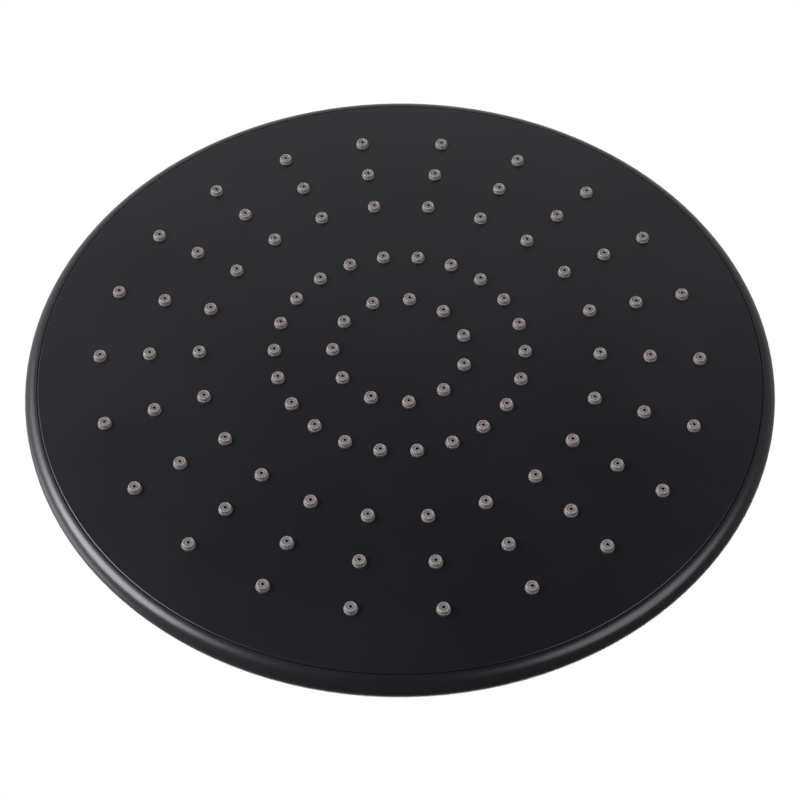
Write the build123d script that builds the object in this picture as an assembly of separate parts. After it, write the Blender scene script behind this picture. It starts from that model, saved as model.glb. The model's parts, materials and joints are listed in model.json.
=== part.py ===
from build123d import *
import math
import os

# Round rain shower head with a swivel ball joint, in millimetres. +Z is up as the head hangs, with the
# nozzles pointing down. The origin is the middle of the inlet's mouth, where the shower arm screws in.

# Inlet: G 1/2 female thread, drawn at its minor radius
THREAD_R = 9.316
THREAD_LENGTH = 12.0
MOUTH_CHAMFER = 0.4
RELIEF_R = 10.7
RELIEF_LENGTH = 3.2
HEX_FLATS = 27.0
HEX_LENGTH = 16.0
HEX_CHAMFER = 1.2

# Swivel ball, centred on BALL_Z, and the zones of the rings that run on it
BALL_R = 12.0
BALL_Z = -32.5
BALL_FLAT = 10.5
NECK_R = 7.2
NECK_TOP = -21.5
WATERWAY_R = 4.5
RUNNING_GAP = 0.15
RING_THICKNESS = 1.4
SLIP_RING_FROM, SLIP_RING_TO = 61.5, 92.5
BALL_SEAL_FROM, BALL_SEAL_TO = 112.0, 132.0
RING_INNER_R = BALL_R + RUNNING_GAP
RING_OUTER_R = RING_INNER_R + RING_THICKNESS
POCKET_R = RING_OUTER_R + RUNNING_GAP

# Collar nut and hub socket, with heights from the ball's centre
COLLAR_R = 19.5
COLLAR_LOW, COLLAR_TOP = -12.6, 9.0
COLLAR_CONE = 60.0
COLLAR_THREAD_R = 16.8
COLLAR_THREAD_TOP = -1.2
KNURL_COUNT = 30
SOCKET_TOP = -1.5
FLANGE_R = 20.0
FLANGE_TOP, FLANGE_LOW = -13.0, -16.0
GASKET_LOW = -17.0
SPIGOT_R = 12.0
SPIGOT_LOW = -27.4
SPIGOT_BORE_R = 8.0
LOCK_NUT_FLATS = 32.0
LOCK_NUT_TOP, LOCK_NUT_LOW = -20.4, -25.4
HUB_R = 22.5
HUB_TOP = -13.2
HUB_FILLET = 3.0
THREAD_GAP = 0.1

# Disc: DATUM_Z is the plane of the outer ring of orifices, and the heights below are above it
DATUM_Z = BALL_Z - 40.4
RINGS = ((20.0, 11), (37.5, 22), (60.0, 22), (75.0, 22), (90.0, 22))
NOZZLE_HEIGHT = 1.5
DOME_R = 1050.0
RIM_R = 108.5
RIM_SECTION_R = 4.3
RIM_Z = 7.66
BACK_R = 525.0
HOUSING_WALL = 2.6

# The layers of the disc, from the face inwards
PLATE_R = 108.65
PLATE_THICKNESS = 2.2
PLATE_EDGE_ROUND = 0.35
SKIRT_R = 106.6
SKIRT_TOP = 8.5
SNAP_LOW, SNAP_TOP, SNAP_PROUD = 7.2, 7.9, 0.55
RIM_INNER_R = 108.85
GROOVE_LOW, GROOVE_TOP, GROOVE_R = 6.9, 8.2, 109.4
MAT_R = 105.5
MAT_THICKNESS = 1.4
INNER_PLATE_R = 105.8
INNER_PLATE_THICKNESS = 2.2
SEAL_RING_R = 101.5
SEAL_SECTION_R = 1.0
SEAL_GROOVE_HALF = 1.2
SEAL_LAND_HALF = 1.7
SEAL_LAND_Z = 9.6

# Nozzles, with heights measured out from the face
NOZZLE_BASE_R = 1.97
NOZZLE_SKIRT = 0.45
NOZZLE_WAIST_R = 1.90
NOZZLE_SHOULDER_R = 1.80
NOZZLE_SHOULDER = 0.32
NOZZLE_LIP_R = 1.56
NOZZLE_DISH_R = 1.3
NOZZLE_DISH_DEPTH = 0.12
NOZZLE_GROOVE_R = 0.92
NOZZLE_GROOVE_HALF = 0.09
NOZZLE_GROOVE_DEPTH = 0.08
ORIFICE_R = 0.44
ORIFICE_LENGTH = 0.8
NOZZLE_BORE_R = 1.3
NOZZLE_HOLE_R = 2.2
WATER_HOLE_R = 1.5

# Screws that clamp the mat, and the diffuser over the middle
SCREW_CIRCLES = ((48.75, 6), (97.5, 12))
SCREW_R = 0.98
SCREW_HEAD_R = 2.3
SCREW_HEAD_HEIGHT = 1.3
SCREW_GRIP = 2.3
PILOT_R = 1.0
PILOT_DEPTH = 2.6
BOSS_R = 2.6
DIFFUSER_R = 16.0
DIFFUSER_LOW, DIFFUSER_TOP = 8.0, 9.5
DIFFUSER_POST_R = 2.3
DIFFUSER_POSTS = ((11.0, 3),)

# Washer, strainer and flow regulator in the inlet, stacked up from the relief's floor
RELIEF_FLOOR = -THREAD_LENGTH - RELIEF_LENGTH
REGULATOR_FLANGE = 1.0
REGULATOR_R = 7.45
REGULATOR_DEPTH = 4.2
REGULATOR_WALL = 1.25
REGULATOR_CORE_R = 3.0
REGULATOR_RING_R, REGULATOR_RING_SECTION_R = 4.6, 1.3
WASHER_R, WASHER_BORE_R, WASHER_THICKNESS = 9.2, 7.2, 2.0
STRAINER_FRAME_R, STRAINER_OPEN_R = 7.1, 5.9
STRAINER_FRAME_HEIGHT = 1.4
STRAINER_R, STRAINER_THICKNESS = 6.65, 0.3
STRAINER_PITCH, STRAINER_HOLE_R = 1.25, 0.45


def turned(*pieces):
    """Solid of revolution about Z, from lines and arcs that close an outline of (radius, height)."""
    edges = [edge for piece in pieces for edge in piece.edges()]
    return revolve(Plane.XZ * make_face(edges), Axis.Z)


def ring(inner, outer, low, high):
    """Plain ring, or a disc where inner is 0."""
    return turned(Polyline((inner, low), (outer, low), (outer, high), (inner, high), close=True))


def hexagon(flats, low, high):
    """Hexagonal prism, by its width across flats."""
    sketch = RegularPolygon(flats / 2, 6, major_radius=False)
    return extrude(Plane.XY.offset(low) * sketch, high - low)


def around(circles):
    """Evenly spaced places on each (radius, count) circle, starting on +X, with their radii."""
    for radius, count in circles:
        for place in PolarLocations(radius, count):
            yield radius, place


def on_sphere(radius, polar):
    """(radius, height) of a point on a sphere about the ball's centre, polar degrees from +Z."""
    angle = math.radians(polar)
    return radius * math.sin(angle), BALL_Z + radius * math.cos(angle)


def face_height(radius, depth=0.0):
    """Height of the domed face, or of the layer this far inside it."""
    drop = DOME_R - math.sqrt(DOME_R**2 - RINGS[-1][0] ** 2)
    rise = DOME_R - math.sqrt(DOME_R**2 - radius**2)
    return DATUM_Z + NOZZLE_HEIGHT - drop + rise + depth


def dome_arc(inner, outer, depth=0.0):
    """Arc of a layer's domed surface between two radii."""
    radii = (inner, (inner + outer) / 2, outer)
    return ThreePointArc(*[(r, face_height(r, depth)) for r in radii])


def domed_layer(outer, depth, thickness):
    """Domed disc that lies this far inside the face."""
    low, high = face_height(outer, depth), face_height(outer, depth + thickness)
    axis_low, axis_high = face_height(0, depth), face_height(0, depth + thickness)
    return turned(
        dome_arc(0, outer, depth),
        Line((outer, low), (outer, high)),
        dome_arc(0, outer, depth + thickness),
        Line((0, axis_high), (0, axis_low)),
    )


MAT_DEPTH = PLATE_THICKNESS
INNER_DEPTH = MAT_DEPTH + MAT_THICKNESS
STACK_DEPTH = INNER_DEPTH + INNER_PLATE_THICKNESS
BACK_CENTRE_Z = DATUM_Z + RIM_Z - math.sqrt((BACK_R - RIM_SECTION_R) ** 2 - RIM_R**2)


def back_height(radius, depth=0.0):
    """Height of the housing's domed back, or of its inner side at this depth."""
    return BACK_CENTRE_Z + math.sqrt((BACK_R - depth) ** 2 - radius**2)


# ---------------------------------------------------------------- swivel


def ball_fitting():
    """Ball, neck and hexagon in one piece, bored through, with the threaded inlet on top."""
    corner = HEX_FLATS / math.sqrt(3)
    envelope = turned(
        Polyline(
            (0, 0), (corner - HEX_CHAMFER, 0), (corner, -HEX_CHAMFER * 0.6),
            (corner, -HEX_LENGTH + HEX_CHAMFER), (corner - 2 * HEX_CHAMFER, -HEX_LENGTH), (0, -HEX_LENGTH),
            close=True,
        )
    )
    hexed = hexagon(HEX_FLATS, -HEX_LENGTH, 0) & envelope
    neck_foot = BALL_Z + BALL_R / 2
    neck = turned(
        Polyline(
            (0, -HEX_LENGTH), (HEX_FLATS / 2 - 0.3, -HEX_LENGTH), (NECK_R, NECK_TOP),
            (NECK_R, neck_foot), (0, neck_foot), close=True,
        )
    )
    ball = Pos(0, 0, BALL_Z) * Sphere(BALL_R)
    ball -= Pos(0, 0, BALL_Z - BALL_FLAT - BALL_R) * Box(3 * BALL_R, 3 * BALL_R, 2 * BALL_R)
    pocket_r = REGULATOR_R + RUNNING_GAP
    pocket_floor = RELIEF_FLOOR - REGULATOR_DEPTH - 0.2
    end = BALL_Z - BALL_FLAT
    bore = turned(
        Polyline(
            (0, 1), (THREAD_R + MOUTH_CHAMFER, 1), (THREAD_R + MOUTH_CHAMFER, 0),
            (THREAD_R, -MOUTH_CHAMFER), (THREAD_R, -THREAD_LENGTH), (RELIEF_R, -THREAD_LENGTH),
            (RELIEF_R, RELIEF_FLOOR), (pocket_r, RELIEF_FLOOR), (pocket_r, pocket_floor),
            (WATERWAY_R, pocket_floor), (WATERWAY_R, end + 1), (WATERWAY_R + 1, end),
            (WATERWAY_R + 1, end - 1), (0, end - 1), close=True,
        )
    )
    return hexed + neck + ball - bore


def ball_zone(start, stop):
    """Ring between two spheres about the ball's centre, from one polar angle to another."""
    middle = (start + stop) / 2
    return turned(
        ThreePointArc(*[on_sphere(RING_INNER_R, a) for a in (start, middle, stop)]),
        Line(on_sphere(RING_INNER_R, stop), on_sphere(RING_OUTER_R, stop)),
        ThreePointArc(*[on_sphere(RING_OUTER_R, a) for a in (stop, middle, start)]),
        Line(on_sphere(RING_OUTER_R, start), on_sphere(RING_INNER_R, start)),
    )


def collar_nut():
    """Knurled nut: its spherical lip holds the slip ring over the ball, and it screws on the socket."""
    bore_r = COLLAR_THREAD_R + THREAD_GAP
    low, thread_top = BALL_Z + COLLAR_LOW, BALL_Z + COLLAR_THREAD_TOP
    top = BALL_Z + COLLAR_TOP
    seat_polar = math.degrees(math.acos(COLLAR_THREAD_TOP / POCKET_R))
    seat_arc = [on_sphere(POCKET_R, a) for a in (seat_polar, (seat_polar + COLLAR_CONE) / 2, COLLAR_CONE)]
    mouth_r = COLLAR_TOP * math.tan(math.radians(COLLAR_CONE))
    crown_r = mouth_r + 0.8
    rounding = COLLAR_R - crown_r
    shoulder = top - rounding
    turn = rounding * math.sqrt(0.5)
    body = turned(
        Polyline((bore_r, low), (bore_r, thread_top), seat_arc[0]),
        ThreePointArc(*seat_arc),
        Polyline(seat_arc[2], (mouth_r, top), (crown_r, top)),
        ThreePointArc((crown_r, top), (crown_r + turn, shoulder + turn), (COLLAR_R, shoulder)),
        Polyline((COLLAR_R, shoulder), (COLLAR_R, low + 0.6), (COLLAR_R - 0.6, low), (bore_r, low)),
    )
    groove_r, groove_depth = 0.9, 0.4
    height = shoulder - 1.5 - (low + 2)
    groove = Cylinder(groove_r, height, align=(Align.CENTER, Align.CENTER, Align.MIN))
    for place in PolarLocations(COLLAR_R + groove_r - groove_depth, KNURL_COUNT):
        body -= Pos(0, 0, low + 2) * place * groove
    return body


def hub_socket():
    """Brass socket: a spherical pocket under the ball, the collar's thread, a flange and a spigot."""
    top, flange_top, flange_low = (BALL_Z + z for z in (SOCKET_TOP, FLANGE_TOP, FLANGE_LOW))
    low = BALL_Z + SPIGOT_LOW
    body = turned(
        Polyline(
            (0, low), (SPIGOT_R - 0.8, low), (SPIGOT_R, low + 0.8), (SPIGOT_R, flange_low),
            (FLANGE_R, flange_low), (FLANGE_R, flange_top), (COLLAR_THREAD_R, flange_top),
            (COLLAR_THREAD_R, top - 0.8), (COLLAR_THREAD_R - 0.8, top), (0, top), close=True,
        )
    )
    pocket = Pos(0, 0, BALL_Z) * Sphere(POCKET_R)
    return body - pocket - ring(0, SPIGOT_BORE_R, low - 1, BALL_Z)


def hub_gasket():
    return ring(SPIGOT_R + 0.3, FLANGE_R - 0.4, BALL_Z + GASKET_LOW, BALL_Z + FLANGE_LOW)


def hub_lock_nut():
    low, high = BALL_Z + LOCK_NUT_LOW, BALL_Z + LOCK_NUT_TOP
    nut = hexagon(LOCK_NUT_FLATS, low, high) & ring(0, LOCK_NUT_FLATS / 2 + 1.2, low, high)
    return nut - ring(0, SPIGOT_R + THREAD_GAP, low - 1, high + 1)


# ---------------------------------------------------------------- inlet


def inlet_washer():
    low = RELIEF_FLOOR + REGULATOR_FLANGE
    return ring(WASHER_BORE_R, WASHER_R, low, low + WASHER_THICKNESS)


def strainer_disc_low():
    return RELIEF_FLOOR + REGULATOR_FLANGE + (STRAINER_FRAME_HEIGHT - STRAINER_THICKNESS) / 2


def filter_frame():
    """Rim that carries the strainer, inside the washer."""
    low = RELIEF_FLOOR + REGULATOR_FLANGE
    frame = ring(STRAINER_OPEN_R, STRAINER_FRAME_R, low, low + STRAINER_FRAME_HEIGHT)
    slot_low = strainer_disc_low()
    return frame - ring(0, STRAINER_R, slot_low, slot_low + STRAINER_THICKNESS)


def filter_screen():
    """Perforated steel disc."""
    low = strainer_disc_low()
    disc = ring(0, STRAINER_R, low, low + STRAINER_THICKNESS)
    hole = Pos(0, 0, low) * Cylinder(STRAINER_HOLE_R, 2)
    reach = STRAINER_OPEN_R - STRAINER_HOLE_R - 0.2
    grid = HexLocations(STRAINER_PITCH / 2, 11, 11, major_radius=False)
    holes = [place * hole for place in grid if place.position.length < reach]
    return disc - holes


def flow_regulator_body():
    """Flanged cup with a lobed core, round which the soft ring closes, and holes in its floor."""
    top = RELIEF_FLOOR + REGULATOR_FLANGE
    low = RELIEF_FLOOR - REGULATOR_DEPTH
    floor = low + 1
    inside_r = REGULATOR_R - REGULATOR_WALL
    cup = ring(0, REGULATOR_R, low, RELIEF_FLOOR) + ring(0, WASHER_R, RELIEF_FLOOR, top)
    cup -= ring(REGULATOR_CORE_R, inside_r, floor, top + 1)
    cup -= ring(0, REGULATOR_CORE_R + 0.1, RELIEF_FLOOR - 0.4, top + 1)
    notch = Pos(0, 0, floor) * Cylinder(0.55, 10, align=(Align.CENTER, Align.CENTER, Align.MIN))
    outlet = Pos(0, 0, low) * Cylinder(0.7, 4)
    notches = [place * notch for place in PolarLocations(REGULATOR_CORE_R + 0.15, 8)]
    outlets = [place * outlet for place in PolarLocations(3.6, 8)]
    return cup - notches - outlets


def flow_regulator_ring():
    floor = RELIEF_FLOOR - REGULATOR_DEPTH + 1
    return Pos(0, 0, floor + REGULATOR_RING_SECTION_R) * Torus(REGULATOR_RING_R, REGULATOR_RING_SECTION_R)


# ---------------------------------------------------------------- disc


def rim_point(degrees):
    """(radius, height) on the rim's round section, from its outermost point towards the back."""
    angle = math.radians(degrees)
    return (
        RIM_R + RIM_SECTION_R * math.cos(angle),
        DATUM_Z + RIM_Z + RIM_SECTION_R * math.sin(angle),
    )


def back_housing():
    """Rear shell: round rim, domed back, hub with the socket's seat, and the groove for the snap bead."""
    tangent = math.degrees(math.acos(RIM_R / (BACK_R - RIM_SECTION_R)))
    lip = -180 + math.degrees(math.acos((RIM_R - RIM_INNER_R) / RIM_SECTION_R))
    hub_foot = HUB_R
    dome_end = rim_point(tangent)
    dome_mid = (dome_end[0] + hub_foot) / 2
    inner_r, inner_end = HOUSING_WALL, back_height(RIM_INNER_R, HOUSING_WALL)
    seat_r = LOCK_NUT_FLATS / 2 + 3
    seat = BALL_Z + LOCK_NUT_TOP
    seat_foot = back_height(seat_r, inner_r)
    under_mid = (RIM_INNER_R + seat_r) / 2
    floor = BALL_Z + GASKET_LOW
    hub_top = BALL_Z + HUB_TOP
    pocket_r = FLANGE_R + 0.2
    hole_r = SPIGOT_R + 0.3
    groove_low, groove_top = DATUM_Z + GROOVE_LOW, DATUM_Z + GROOVE_TOP
    shell = turned(
        ThreePointArc(rim_point(lip), rim_point(0), dome_end),
        ThreePointArc(dome_end, (dome_mid, back_height(dome_mid)), (hub_foot, back_height(hub_foot))),
        Polyline(
            (hub_foot, back_height(hub_foot)), (hub_foot, hub_top), (pocket_r, hub_top),
            (pocket_r, floor), (hole_r, floor), (hole_r, seat), (seat_r, seat), (seat_r, seat_foot),
        ),
        ThreePointArc(
            (seat_r, seat_foot), (under_mid, back_height(under_mid, inner_r)), (RIM_INNER_R, inner_end)
        ),
        Polyline(
            (RIM_INNER_R, inner_end), (RIM_INNER_R, groove_top), (GROOVE_R, groove_top),
            (GROOVE_R, groove_low), (RIM_INNER_R, groove_low), rim_point(lip),
        ),
    )
    foot = shell.edges().filter_by(GeomType.CIRCLE).filter_by(
        lambda e: abs(e.radius - hub_foot) < 0.01 and e.center().Z < hub_top - 0.5
    )
    shell = fillet(foot, HUB_FILLET)
    brow = shell.edges().filter_by(GeomType.CIRCLE).filter_by(
        lambda e: abs(e.radius - hub_foot) < 0.01 and abs(e.center().Z - hub_top) < 0.01
    )
    shell = fillet(brow, 1.0)
    land_low, land_high = DATUM_Z + SEAL_LAND_Z, back_height(SEAL_RING_R, HOUSING_WALL / 2)
    return shell + ring(SEAL_RING_R - SEAL_LAND_HALF, SEAL_RING_R + SEAL_LAND_HALF, land_low, land_high)


def face_plate():
    """Domed cover with a nozzle hole at every place, screw bosses inside and a skirt that snaps in."""
    centre_z = face_height(0) + DOME_R
    round_x = PLATE_R - PLATE_EDGE_ROUND
    round_z = centre_z - math.sqrt((DOME_R - PLATE_EDGE_ROUND) ** 2 - round_x**2)
    share = PLATE_EDGE_ROUND / (DOME_R - PLATE_EDGE_ROUND)
    face_end = (round_x * (1 + share), round_z - (centre_z - round_z) * share)
    mid_angle = math.radians(-45)
    edge_mid = (
        round_x + PLATE_EDGE_ROUND * math.cos(mid_angle),
        round_z + PLATE_EDGE_ROUND * math.sin(mid_angle),
    )
    skirt_top, snap_low, snap_top = (DATUM_Z + z for z in (SKIRT_TOP, SNAP_LOW, SNAP_TOP))
    half = face_end[0] / 2
    plate = turned(
        ThreePointArc((0, face_height(0)), (half, face_height(half)), face_end),
        ThreePointArc(face_end, edge_mid, (PLATE_R, round_z)),
        Polyline(
            (PLATE_R, round_z), (PLATE_R, snap_low), (PLATE_R + SNAP_PROUD, snap_low + 0.2),
            (PLATE_R + SNAP_PROUD, snap_top - 0.2), (PLATE_R, snap_top), (PLATE_R, skirt_top),
            (SKIRT_R, skirt_top), (SKIRT_R, face_height(SKIRT_R, PLATE_THICKNESS)),
        ),
        dome_arc(0, SKIRT_R, PLATE_THICKNESS),
        Line((0, face_height(0, PLATE_THICKNESS)), (0, face_height(0))),
    )
    bosses, pilots = [], []
    for radius, place in around(SCREW_CIRCLES):
        foot = face_height(radius, PLATE_THICKNESS / 2)
        top = face_height(radius - BOSS_R, INNER_DEPTH)
        bosses.append(place * ring(0, BOSS_R, foot, top))
        pilots.append(place * ring(0, PILOT_R, top - PILOT_DEPTH, top + 1))
    holes = [
        place * ring(0, NOZZLE_HOLE_R, face_height(radius) - 3, face_height(radius) + 5)
        for radius, place in around(RINGS)
    ]
    return plate + bosses - pilots - holes


def nozzle_outline(radius):
    """Outside of one nozzle at this ring: foot in the plate's hole, waist, shoulder, lip, grooved dish."""
    face = face_height(radius)
    root = face + PLATE_THICKNESS + MAT_THICKNESS / 2
    tip = face - NOZZLE_HEIGHT
    dish = tip + NOZZLE_DISH_DEPTH
    shoulder = tip + NOZZLE_SHOULDER
    turn = (NOZZLE_SHOULDER_R - 0.08, tip + 0.1)
    return turned(
        Polyline(
            (0, root), (NOZZLE_BASE_R, root), (NOZZLE_BASE_R, face - NOZZLE_SKIRT + 0.1),
            (NOZZLE_WAIST_R, face - NOZZLE_SKIRT), (NOZZLE_SHOULDER_R, shoulder),
        ),
        ThreePointArc((NOZZLE_SHOULDER_R, shoulder), turn, (NOZZLE_LIP_R, tip)),
        Polyline(
            (NOZZLE_LIP_R, tip), (NOZZLE_DISH_R + 0.1, tip), (NOZZLE_DISH_R, dish),
            (NOZZLE_GROOVE_R + NOZZLE_GROOVE_HALF, dish), (NOZZLE_GROOVE_R, dish + NOZZLE_GROOVE_DEPTH),
            (NOZZLE_GROOVE_R - NOZZLE_GROOVE_HALF, dish), (0, dish), (0, root),
        ),
    )


def nozzle_bore(radius):
    """Water passage of one nozzle: wide behind, with a short narrow orifice."""
    face = face_height(radius)
    back = face + PLATE_THICKNESS + MAT_THICKNESS + 1
    tip = face - NOZZLE_HEIGHT
    neck = tip + ORIFICE_LENGTH
    return turned(
        Polyline(
            (0, back), (NOZZLE_BORE_R, back), (NOZZLE_BORE_R, neck + 0.7), (ORIFICE_R, neck),
            (ORIFICE_R, tip - 1), (0, tip - 1), close=True,
        )
    )


def nozzle_mat():
    """One silicone moulding: a thin domed sheet with all the nozzles."""
    mat = domed_layer(MAT_R, MAT_DEPTH, MAT_THICKNESS)
    low, high = face_height(0), face_height(MAT_R, INNER_DEPTH)
    clear = [place * ring(0, BOSS_R + 0.2, low, high) for _, place in around(SCREW_CIRCLES)]
    nozzles = [place * nozzle_outline(radius) for radius, place in around(RINGS)]
    bores = [place * nozzle_bore(radius) for radius, place in around(RINGS)]
    return mat - clear + nozzles - bores


def inner_plate():
    """Stiff plate over the mat: a water hole per nozzle, the seal's groove and the diffuser's posts."""
    plate = domed_layer(INNER_PLATE_R, INNER_DEPTH, INNER_PLATE_THICKNESS)
    low, high = face_height(0), DATUM_Z + DIFFUSER_TOP
    post_foot, post_top = face_height(0, STACK_DEPTH - 1), DATUM_Z + DIFFUSER_LOW
    posts = [place * ring(0, DIFFUSER_POST_R, post_foot, post_top) for _, place in around(DIFFUSER_POSTS)]
    pilots = [
        place * ring(0, PILOT_R, post_top - PILOT_DEPTH, post_top + 1)
        for _, place in around(DIFFUSER_POSTS)
    ]
    water = [place * ring(0, WATER_HOLE_R, low, high) for _, place in around(RINGS)]
    screws = [place * ring(0, SCREW_R + 0.3, low, high) for _, place in around(SCREW_CIRCLES)]
    groove_low = DATUM_Z + SEAL_LAND_Z - 2 * SEAL_SECTION_R
    groove = ring(SEAL_RING_R - SEAL_GROOVE_HALF, SEAL_RING_R + SEAL_GROOVE_HALF, groove_low, high)
    return plate + posts - pilots - water - screws - groove


def chamber_seal():
    height = DATUM_Z + SEAL_LAND_Z - SEAL_SECTION_R
    return Pos(0, 0, height) * Torus(SEAL_RING_R, SEAL_SECTION_R)


def screw(seat, grip):
    """Pan-head screw with a cross recess: the underside of its head at seat, its point grip below."""
    top = seat + SCREW_HEAD_HEIGHT
    body = turned(
        Polyline(
            (0, seat - grip), (SCREW_R - 0.5, seat - grip), (SCREW_R, seat - grip + 0.8), (SCREW_R, seat),
            (SCREW_HEAD_R, seat), (SCREW_HEAD_R, top - 0.5), (SCREW_HEAD_R - 0.6, top), (0, top),
            close=True,
        )
    )
    slot = Pos(0, 0, top) * Box(2.4, 0.55, 1.4)
    return body - slot - Rot(0, 0, 90) * slot


def inner_plate_screws():
    """Screws from the inner plate into the face plate's bosses."""
    grip = INNER_PLATE_THICKNESS + SCREW_GRIP
    return [
        place * screw(face_height(radius + SCREW_HEAD_R, STACK_DEPTH), grip)
        for radius, place in around(SCREW_CIRCLES)
    ]


def diffuser_disc():
    """Baffle on three posts under the inlet, with a low cone that turns the jet outwards."""
    low, top = DATUM_Z + DIFFUSER_LOW, DATUM_Z + DIFFUSER_TOP
    disc = turned(
        Polyline(
            (0, low), (DIFFUSER_R, low), (DIFFUSER_R, top), (6.0, top), (0, top + 1.5), close=True,
        )
    )
    clear = [place * ring(0, SCREW_R + 0.3, low - 1, top + 2) for _, place in around(DIFFUSER_POSTS)]
    return disc - clear


def diffuser_screws():
    thickness = DIFFUSER_TOP - DIFFUSER_LOW
    return [
        place * screw(DATUM_Z + DIFFUSER_TOP, thickness + SCREW_GRIP)
        for _, place in around(DIFFUSER_POSTS)
    ]


PARTS = {
    "ball_fitting": ball_fitting,
    "inlet_washer": inlet_washer,
    "filter_frame": filter_frame,
    "filter_screen": filter_screen,
    "flow_regulator_body": flow_regulator_body,
    "flow_regulator_ring": flow_regulator_ring,
    "ball_seal": lambda: ball_zone(BALL_SEAL_FROM, BALL_SEAL_TO),
    "slip_ring": lambda: ball_zone(SLIP_RING_FROM, SLIP_RING_TO),
    "collar_nut": collar_nut,
    "hub_socket": hub_socket,
    "hub_gasket": hub_gasket,
    "hub_lock_nut": hub_lock_nut,
    "back_housing": back_housing,
    "face_plate": face_plate,
    "nozzle_mat": nozzle_mat,
    "inner_plate": inner_plate,
    "inner_plate_screws": inner_plate_screws,
    "chamber_seal": chamber_seal,
    "diffuser_disc": diffuser_disc,
    "diffuser_screws": diffuser_screws,
}

os.makedirs("parts", exist_ok=True)
for name, make in PARTS.items():
    made = make()
    solids = made if isinstance(made, list) else made.solids()
    export_step(Compound(children=list(solids)), f"parts/{name}.step")
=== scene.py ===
"""Looks of a rain shower head with a swivel ball joint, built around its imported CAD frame.

The head hangs face down in the row frame: +Z is up and the origin is the inlet's mouth.
All lengths are in metres.
"""

import json
import math

import bmesh
import bpy
import numpy as np
from mathutils import Matrix, Vector


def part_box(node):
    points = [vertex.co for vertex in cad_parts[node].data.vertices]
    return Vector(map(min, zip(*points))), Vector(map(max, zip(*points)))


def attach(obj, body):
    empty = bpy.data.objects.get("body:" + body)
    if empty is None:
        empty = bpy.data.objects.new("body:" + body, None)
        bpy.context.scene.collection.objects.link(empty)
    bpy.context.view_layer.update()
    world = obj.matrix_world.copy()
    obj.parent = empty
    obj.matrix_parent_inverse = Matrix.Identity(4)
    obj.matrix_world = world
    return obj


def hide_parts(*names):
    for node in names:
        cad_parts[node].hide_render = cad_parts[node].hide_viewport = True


MM = 0.001
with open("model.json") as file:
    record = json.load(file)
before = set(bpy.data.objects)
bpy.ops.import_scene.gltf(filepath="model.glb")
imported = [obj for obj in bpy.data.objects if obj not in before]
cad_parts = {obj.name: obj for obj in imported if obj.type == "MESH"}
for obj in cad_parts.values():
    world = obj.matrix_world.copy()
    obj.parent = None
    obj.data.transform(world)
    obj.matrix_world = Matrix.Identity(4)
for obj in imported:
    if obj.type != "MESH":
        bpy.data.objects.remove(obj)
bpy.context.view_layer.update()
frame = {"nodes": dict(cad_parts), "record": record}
NODES = frame["nodes"]

# The disc's layout, from the frame and the CAD's driving sizes
FACE_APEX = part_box("face_plate")[0].z
DOME_R = 1.050
RINGS = ((0.020, 11), (0.0375, 22), (0.060, 22), (0.075, 22), (0.090, 22))
NOZZLE_HEIGHT = 1.5 * MM
DISH_R = 1.32 * MM
DISH_DEPTH = 0.25 * MM
ORIFICE_R = 0.5 * MM


def face_height(radius):
    """Height of the domed face at this radius."""
    return FACE_APEX + DOME_R - math.sqrt(DOME_R**2 - radius**2)


# ---------------------------------------------------------------- camera

DATUM = Vector((0, 0, face_height(RINGS[-1][0]) - NOZZLE_HEIGHT))
VIEW_AZIMUTH = math.radians(-90.67)
VIEW_ELEVATION = math.radians(-50.89)
VIEW_DISTANCE = 0.6693
VIEW_AIM = Vector((-0.0002, -0.0170, 0))
VIEW_ROLL = math.radians(0.27)
LENS = 100.46


def direction(azimuth, elevation):
    """Unit vector that points this way, by angles in radians."""
    level = math.cos(elevation)
    return Vector((math.cos(azimuth) * level, math.sin(azimuth) * level, math.sin(elevation)))


def make_camera():
    """The camera stands below the head and looks up at its face, with the row's -Z at the top."""
    place = DATUM + VIEW_DISTANCE * direction(VIEW_AZIMUTH, VIEW_ELEVATION)
    ahead = (DATUM + VIEW_AIM - place).normalized()
    up = (Vector((0, 0, -1)) + ahead * ahead.z).normalized()
    up = Matrix.Rotation(VIEW_ROLL, 3, ahead) @ up
    right = ahead.cross(up)
    turn = Matrix((right, up, -ahead)).transposed().to_4x4()
    data = bpy.data.cameras.new("camera")
    data.sensor_width = 36
    data.lens = LENS
    data.clip_start, data.clip_end = 0.01, 20
    camera = bpy.data.objects.new("camera", data)
    camera.matrix_world = Matrix.Translation(place) @ turn
    bpy.context.scene.collection.objects.link(camera)
    bpy.context.scene.camera = camera


# ---------------------------------------------------------------- materials


def new_material(name):
    """A new material with its node tree and its Principled shader."""
    material = bpy.data.materials.new(name)
    material.use_nodes = True
    tree = material.node_tree
    return material, tree, tree.nodes["Principled BSDF"]


def noise(tree, scale, detail):
    """Object-space noise, with its scale in features per metre."""
    place = tree.nodes.new("ShaderNodeTexCoord")
    texture = tree.nodes.new("ShaderNodeTexNoise")
    texture.inputs["Scale"].default_value = scale
    texture.inputs["Detail"].default_value = detail
    tree.links.new(place.outputs["Object"], texture.inputs["Vector"])
    return texture.outputs["Fac"]


def ranged(tree, value, low, high, start=0.3, stop=0.7):
    """Map a value that runs from start to stop onto low to high."""
    node = tree.nodes.new("ShaderNodeMapRange")
    for socket, number in zip(("From Min", "From Max", "To Min", "To Max"), (start, stop, low, high)):
        node.inputs[socket].default_value = number
    tree.links.new(value, node.inputs["Value"])
    return node.outputs["Result"]


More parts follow.
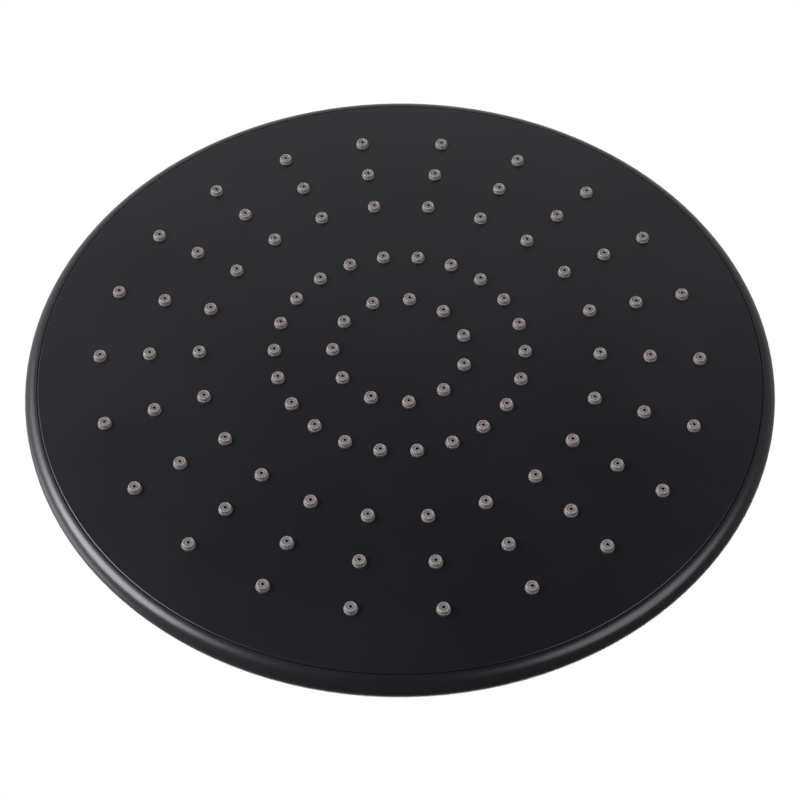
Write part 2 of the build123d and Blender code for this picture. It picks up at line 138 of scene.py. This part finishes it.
def two_tone(tree, factor, first, second):
    """Mix two colours by a factor."""
    mix = tree.nodes.new("ShaderNodeMix")
    mix.data_type = "RGBA"
    colours = [s for s in mix.inputs if s.type == "RGBA"]
    colours[0].default_value = (*first, 1)
    colours[1].default_value = (*second, 1)
    tree.links.new(factor, mix.inputs["Factor"])
    return next(s for s in mix.outputs if s.type == "RGBA")


def bump(tree, shader, height, strength, distance):
    """Give the shader a bump from a height."""
    node = tree.nodes.new("ShaderNodeBump")
    node.inputs["Strength"].default_value = strength
    node.inputs["Distance"].default_value = distance
    tree.links.new(height, node.inputs["Height"])
    tree.links.new(node.outputs["Normal"], shader.inputs["Normal"])


GRAIN_DEPTH = 0.03 * MM


def finish(name, first, second, rough, grain, strength=0.1, metallic=0.0, patch=60):
    """A finish with two close colours in patches, a range of roughness and a fine grain.

    rough is (low, high). patch and grain are features per metre, and strength is the grain's.
    """
    material, tree, shader = new_material(name)
    patches = ranged(tree, noise(tree, patch, 3), 0, 1)
    tree.links.new(two_tone(tree, patches, first, second), shader.inputs["Base Color"])
    tree.links.new(ranged(tree, patches, *rough, 0, 1), shader.inputs["Roughness"])
    shader.inputs["Metallic"].default_value = metallic
    bump(tree, shader, noise(tree, grain, 2), strength, GRAIN_DEPTH)
    return material


def satin_black():
    """Matt black moulding: spark-eroded grain, with faint changes of gloss from handling."""
    dark, light = (0.0041, 0.0041, 0.0057), (0.0057, 0.0057, 0.0076)
    return finish("satin_black", dark, light, (0.29, 0.32), 9000, patch=22)


def black_metal():
    """Black coated brass: a little smoother than the moulding, with a slight orange peel."""
    dark, light = (0.0050, 0.0050, 0.0056), (0.0075, 0.0075, 0.0080)
    return finish("black_metal", dark, light, (0.24, 0.30), 3500, 0.16)


def silicone(name, low, high, rough):
    """Warm grey silicone: matt, faintly mottled by lime."""
    material, tree, shader = new_material(name)
    mottle = ranged(tree, noise(tree, 1400, 3), 0, 1)
    tree.links.new(two_tone(tree, mottle, low, high), shader.inputs["Base Color"])
    tree.links.new(ranged(tree, mottle, *rough, 0, 1), shader.inputs["Roughness"])
    bump(tree, shader, noise(tree, 5000, 3), 0.15, 0.04 * MM)
    return material


def brass():
    """Machined brass, bare."""
    return finish("brass", (0.60, 0.42, 0.17), (0.70, 0.52, 0.24), (0.22, 0.36), 2500, 0.12, 1.0, 80)


def steel():
    """Plain stainless steel."""
    return finish("steel", (0.50, 0.50, 0.49), (0.60, 0.60, 0.59), (0.25, 0.38), 3000, 0.1, 1.0, 200)


def plastic(name, first, second, rough, grain):
    """A plain moulding in this colour."""
    return finish(name, first, second, rough, grain, 0.08)


def make_materials():
    """One material per slot of the record."""
    grey = (0.175, 0.158, 0.149), (0.218, 0.200, 0.189)
    rubber = (0.012, 0.012, 0.012), (0.020, 0.020, 0.020)
    white = (0.72, 0.72, 0.69), (0.80, 0.80, 0.78)
    dark = (0.040, 0.040, 0.042), (0.055, 0.055, 0.058)
    green = (0.05, 0.24, 0.11), (0.07, 0.30, 0.14)
    return {
        "satin_black": satin_black(),
        "black_metal": black_metal(),
        "silicone_grey": silicone("silicone_grey", *grey, (0.36, 0.46)),
        "brass": brass(),
        "black_rubber": finish("black_rubber", *rubber, (0.55, 0.70), 6000, 0.2),
        "white_plastic": plastic("white_plastic", *white, (0.32, 0.42), 4000),
        "inner_plastic": plastic("inner_plastic", *dark, (0.42, 0.52), 5000),
        "green_plastic": plastic("green_plastic", *green, (0.30, 0.40), 4000),
        "steel": steel(),
    }


def dress(data, *materials):
    """Give a mesh these materials."""
    data.materials.clear()
    for material in materials:
        data.materials.append(material)


def slot_of(node):
    """The record's material slot of a node."""
    return next(e["material_slot"] for e in frame["record"]["subparts"] if e["node"] == node)


def body_of(node):
    """The body that a node belongs to."""
    bodies = frame["record"]["behaviour"]["bodies"]
    return next(body for body, members in bodies.items() if node in members)


# ---------------------------------------------------------------- pieces that stand for CAD nodes


def stand_in(node, name, data, *materials):
    """Show this mesh instead of a CAD node, on the node's body and with these materials."""
    piece = bpy.data.objects.new(name, data)
    bpy.context.scene.collection.objects.link(piece)
    dress(data, *materials)
    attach(piece, body_of(node))
    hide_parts(node)
    return piece


def nozzle_places(points):
    """The axis of the nozzle nearest to each point, the distance from it, and the height above its tip."""
    flat = np.hypot(points[:, 0], points[:, 1])
    angle = np.arctan2(points[:, 1], points[:, 0])
    axes = np.zeros((len(points), 2))
    away = np.full(len(points), np.inf)
    above = np.zeros(len(points))
    for radius, count in RINGS:
        step = 2 * math.pi / count
        turn = np.round(angle / step) * step
        distance = np.hypot(flat * np.cos(angle - turn) - radius, flat * np.sin(angle - turn))
        nearer = distance < away
        away[nearer] = distance[nearer]
        axes[nearer] = radius * np.stack((np.cos(turn), np.sin(turn)), axis=1)[nearer]
        above[nearer] = points[nearer, 2] - (face_height(radius) - NOZZLE_HEIGHT)
    return axes, away, above


# The nozzle's outer wall: heights above its tip, and the share of the CAD's radius that it has there
WALL = (1.45 * MM, 2.05 * MM)
WALL_HEIGHTS = (0.0, 0.32 * MM, 1.05 * MM, 1.15 * MM)
WALL_SHARES = (0.985, 0.983, 0.983, 1.040)

# Above the tip, where the skirt starts and where the painted shade begins: the skirt's lower part has a
# darker silicone colour
PAINTED_SHADE_HEIGHT = 1.02 * MM


def flared(points):
    """Move the points of the nozzles' walls, to give each a narrower body and a wider skirt."""
    axes, away, above = nozzle_places(points)
    wall = (away > WALL[0]) & (away < WALL[1]) & (above < NOZZLE_HEIGHT + 1.5 * MM)
    share = np.interp(above, WALL_HEIGHTS, WALL_SHARES)[wall, None]
    moved = points.copy()
    moved[wall, :2] = axes[wall] + (points[wall, :2] - axes[wall]) * share
    return moved


def make_nozzles(materials):
    """The silicone mat again: each nozzle has a flared skirt and its own finish for the dish, plus painted
    shade, near black in the orifice and the channel inside and darker on the skirt's lower part.
    """
    data = NODES["nozzle_mat"].data.copy()
    corners = np.zeros(len(data.vertices) * 3)
    data.vertices.foreach_get("co", corners)
    data.vertices.foreach_set("co", flared(corners.reshape(-1, 3)).ravel())
    if "custom_normal" in data.attributes:
        data.attributes.remove(data.attributes["custom_normal"])
    data.shade_smooth()
    centres = np.zeros(len(data.polygons) * 3)
    data.polygons.foreach_get("center", centres)
    _, away, above = nozzle_places(centres.reshape(-1, 3))
    dish = (away < DISH_R) & (above < DISH_DEPTH)
    # Painted shade: the orifice and the channel inside the nozzle are coloured near black.
    painted_shade_bore = (away < ORIFICE_R) | ((away < DISH_R) & (above > DISH_DEPTH))
    # Painted shade: the lower part of the skirt is coloured a darker grey.
    painted_shade_foot = (away > WALL[0]) & (above > PAINTED_SHADE_HEIGHT)
    dish_finish = silicone("silicone_dish", (0.127, 0.103, 0.096), (0.159, 0.131, 0.122), (0.45, 0.55))
    # Near-black silicone: painted shade in the orifice and the channel inside.
    bore_painted_shade = silicone("silicone_bore_painted_shade", (0.010, 0.007, 0.006), (0.016, 0.011, 0.010), (0.50, 0.60))
    # Darker silicone: painted shade on the lower part of the skirt.
    foot_painted_shade = silicone("silicone_foot_painted_shade", (0.112, 0.102, 0.099), (0.140, 0.130, 0.126), (0.45, 0.55))
    finishes = materials["silicone_grey"], dish_finish, bore_painted_shade, foot_painted_shade
    stand_in("nozzle_mat", "nozzles", data, *finishes)
    index = np.select((painted_shade_bore, dish, painted_shade_foot), (2, 1, 3), 0).astype(np.int32)
    data.polygons.foreach_set("material_index", index)


def helix(low, high, pitch, profile, steps=72):
    """Mesh of a closed profile, a list of (radius, rise), swept up a right-handed helix."""
    mesh = bmesh.new()
    rows = []
    for i in range(round((high - low) / pitch * steps) + 1):
        angle = 2 * math.pi * i / steps
        middle = low + pitch * i / steps
        spots = [(r * math.cos(angle), r * math.sin(angle), middle + rise) for r, rise in profile]
        rows.append([mesh.verts.new(spot) for spot in spots])
    for row, above in zip(rows, rows[1:]):
        for k in range(len(profile)):
            after = (k + 1) % len(profile)
            mesh.faces.new((row[k], row[after], above[after], above[k]))
    mesh.faces.new(rows[0])
    mesh.faces.new(rows[-1])
    bmesh.ops.recalc_face_normals(mesh, faces=mesh.faces)
    data = bpy.data.meshes.new("helix")
    mesh.to_mesh(data)
    mesh.free()
    return data


def thread_profile(crest, root, pitch):
    """Section of a thread's groove, wide at the crest and narrow at the root."""
    flat = pitch / 6
    slope = (pitch * 0.88 - flat) / abs(crest - root)
    past = crest + (crest - root) * 0.04
    mouth = flat + slope * abs(past - root)
    return [(past, mouth / 2), (root, flat / 2), (root, -flat / 2), (past, -mouth / 2)]


def welded(node, name):
    """Copy of a CAD node's mesh, with its faces joined along their edges."""
    mesh = bmesh.new()
    mesh.from_mesh(NODES[node].data)
    bmesh.ops.remove_doubles(mesh, verts=mesh.verts, dist=0.001 * MM)
    data = bpy.data.meshes.new(name)
    mesh.to_mesh(data)
    mesh.free()
    return data


SHARP_EDGE = math.radians(28)


def threaded(node, name, material, *threads):
    """A CAD node with its threads cut. Each thread is (crest radius, root radius, pitch, low, high)."""
    blank = bpy.data.objects.new("blank", welded(node, name))
    bpy.context.scene.collection.objects.link(blank)
    tools = []
    for crest, root, pitch, low, high in threads:
        tool = bpy.data.objects.new("tool", helix(low, high, pitch, thread_profile(crest, root, pitch)))
        bpy.context.scene.collection.objects.link(tool)
        cut = blank.modifiers.new("thread", "BOOLEAN")
        cut.operation = "DIFFERENCE"
        cut.solver = "EXACT"
        cut.object = tool
        tools.append(tool)
    depsgraph = bpy.context.evaluated_depsgraph_get()
    final = bpy.data.meshes.new_from_object(blank.evaluated_get(depsgraph))
    final.name = name
    for spare in (blank, *tools):
        bpy.data.objects.remove(spare)
    if "custom_normal" in final.attributes:
        final.attributes.remove(final.attributes["custom_normal"])
    final.shade_smooth()
    final.set_sharp_from_angle(angle=SHARP_EDGE)
    stand_in(node, name, final, material)


def make_threads(materials):
    """G 1/2 in the inlet, and the metric threads of the collar, the socket and the lock nut."""
    ball = -32.5 * MM
    pitch = 1.5 * MM
    black, brass = materials["black_metal"], materials["brass"]
    inlet = (9.316 * MM, 10.478 * MM, 1.814 * MM, -13.4 * MM, 2.2 * MM)
    collar = (16.9 * MM, 17.8 * MM, pitch, ball - 14.5 * MM, ball - 2.4 * MM)
    socket = (16.8 * MM, 15.9 * MM, pitch, ball - 12.0 * MM, ball + 0.5 * MM)
    spigot = (12.0 * MM, 11.1 * MM, pitch, ball - 29.0 * MM, ball - 18.2 * MM)
    nut = (12.1 * MM, 13.0 * MM, pitch, ball - 27.5 * MM, ball - 18.5 * MM)
    threaded("ball_fitting", "threaded_fitting", black, inlet)
    threaded("collar_nut", "threaded_collar", black, collar)
    threaded("hub_socket", "threaded_socket", brass, socket, spigot)
    threaded("hub_lock_nut", "threaded_lock_nut", brass, nut)


# ---------------------------------------------------------------- light and stage

FLOOR_Z = -2.1
FLOOR_HALF = 60.0
FLOOR_GLOW = 0.58

# Colour of all the light, slightly cool
SKYLIGHT = (0.985, 0.99, 1.03)

# The room's brightness by the sine of the elevation
ROOM_LIGHT = (
    (-1.0, 0.04),
    (-0.87, 0.05),
    (-0.64, 0.50),
    (-0.34, 0.56),
    (0.0, 0.84),
    (0.34, 0.60),
    (1.0, 0.50),
)

# The side of the room that is brighter, and the share of the light on the dim and the bright side
BRIGHT_SIDE = (0.55, 0.85, 0.0)
DIM, BRIGHT = 0.30, 1.12


def softbox(name, azimuth, elevation, distance, width, radiance):
    """Round light that faces the disc from this direction in degrees, invisible to the camera."""
    data = bpy.data.lights.new(name, "AREA")
    data.shape = "DISK"
    data.size = width
    data.energy = radiance * math.pi * math.pi * (width / 2) ** 2
    data.color = SKYLIGHT
    light = bpy.data.objects.new(name, data)
    way = direction(math.radians(azimuth), math.radians(elevation))
    light.location = DATUM + way * distance
    light.rotation_mode = "QUATERNION"
    light.rotation_quaternion = way.to_track_quat("Z", "Y")
    light.visible_camera = False
    bpy.context.scene.collection.objects.link(light)


def make_lights():
    """Soft boxes light the face from below, strong on one side and weak on the other; two light the back."""
    softbox("left_box", -5, -38, 1.3, 0.92, 11.4)
    softbox("left_screen", 20, -28, 1.4, 0.90, 2.4)
    softbox("right_box", 199, -45, 1.3, 1.00, 3.4)
    softbox("left_back", 0, 20, 1.5, 1.00, 1.8)
    softbox("overhead", 105, 74, 1.6, 1.60, 3.0)


def room_ramp(tree, height):
    """Colour of the room's light at this height of the way that it comes from, from -1 to 1."""
    ramp = tree.nodes.new("ShaderNodeValToRGB")
    tree.links.new(ranged(tree, height, 0, 1, -1, 1), ramp.inputs["Fac"])
    stops = ramp.color_ramp.elements
    while len(stops) < len(ROOM_LIGHT):
        stops.new(0.5)
    for stop, (rise, brightness) in zip(stops, ROOM_LIGHT):
        stop.position = (rise + 1) / 2
        stop.color = (*[tint * brightness for tint in SKYLIGHT], 1)
    return ramp.outputs["Color"]


def make_world():
    """White to the camera; to the surfaces, dark below, paler above and brighter on one side."""
    world = bpy.data.worlds.new("world")
    bpy.context.scene.world = world
    world.use_nodes = True
    tree = world.node_tree
    tree.nodes.clear()
    place = tree.nodes.new("ShaderNodeTexCoord")
    axes = tree.nodes.new("ShaderNodeSeparateXYZ")
    tree.links.new(place.outputs["Generated"], axes.inputs["Vector"])
    side = tree.nodes.new("ShaderNodeVectorMath")
    side.operation = "DOT_PRODUCT"
    side.inputs[1].default_value = BRIGHT_SIDE
    tree.links.new(place.outputs["Generated"], side.inputs[0])
    share = ranged(tree, side.outputs["Value"], DIM, BRIGHT, -0.6, 0.8)
    lighting = tree.nodes.new("ShaderNodeBackground")
    tree.links.new(room_ramp(tree, axes.outputs["Z"]), lighting.inputs["Color"])
    tree.links.new(share, lighting.inputs["Strength"])
    seen = tree.nodes.new("ShaderNodeBackground")
    seen.inputs["Color"].default_value = (1, 1, 1, 1)
    path = tree.nodes.new("ShaderNodeLightPath")
    mix = tree.nodes.new("ShaderNodeMixShader")
    output = tree.nodes.new("ShaderNodeOutputWorld")
    tree.links.new(path.outputs["Is Camera Ray"], mix.inputs["Fac"])
    tree.links.new(lighting.outputs["Background"], mix.inputs[1])
    tree.links.new(seen.outputs["Background"], mix.inputs[2])
    tree.links.new(mix.outputs["Shader"], output.inputs["Surface"])


def make_floor():
    """Plain pale floor, far below the hanging head. It isn't mirrored in the face."""
    mesh = bpy.data.meshes.new("floor")
    signs = (-1, -1), (1, -1), (1, 1), (-1, 1)
    corners = [(x * FLOOR_HALF, y * FLOOR_HALF, FLOOR_Z) for x, y in signs]
    mesh.from_pydata(corners, [], [(0, 1, 2, 3)])
    floor = bpy.data.objects.new("floor", mesh)
    bpy.context.scene.collection.objects.link(floor)
    material, tree, shader = new_material("floor")
    patches = ranged(tree, noise(tree, 3, 2), 0, 1)
    tone = two_tone(tree, patches, (0.80, 0.80, 0.80), (0.83, 0.83, 0.83))
    tree.links.new(tone, shader.inputs["Base Color"])
    shader.inputs["Roughness"].default_value = 0.7
    shader.inputs["Emission Color"].default_value = (1, 1, 1, 1)
    shader.inputs["Emission Strength"].default_value = FLOOR_GLOW
    mesh.materials.append(material)
    floor.visible_diffuse = False
    floor.visible_glossy = False


def main():
    scene = bpy.context.scene
    scene.view_settings.view_transform = "Standard"
    make_camera()
    materials = make_materials()
    for node, thing in NODES.items():
        dress(thing.data, materials[slot_of(node)])
    make_nozzles(materials)
    make_threads(materials)
    make_lights()
    make_world()
    make_floor()


main()
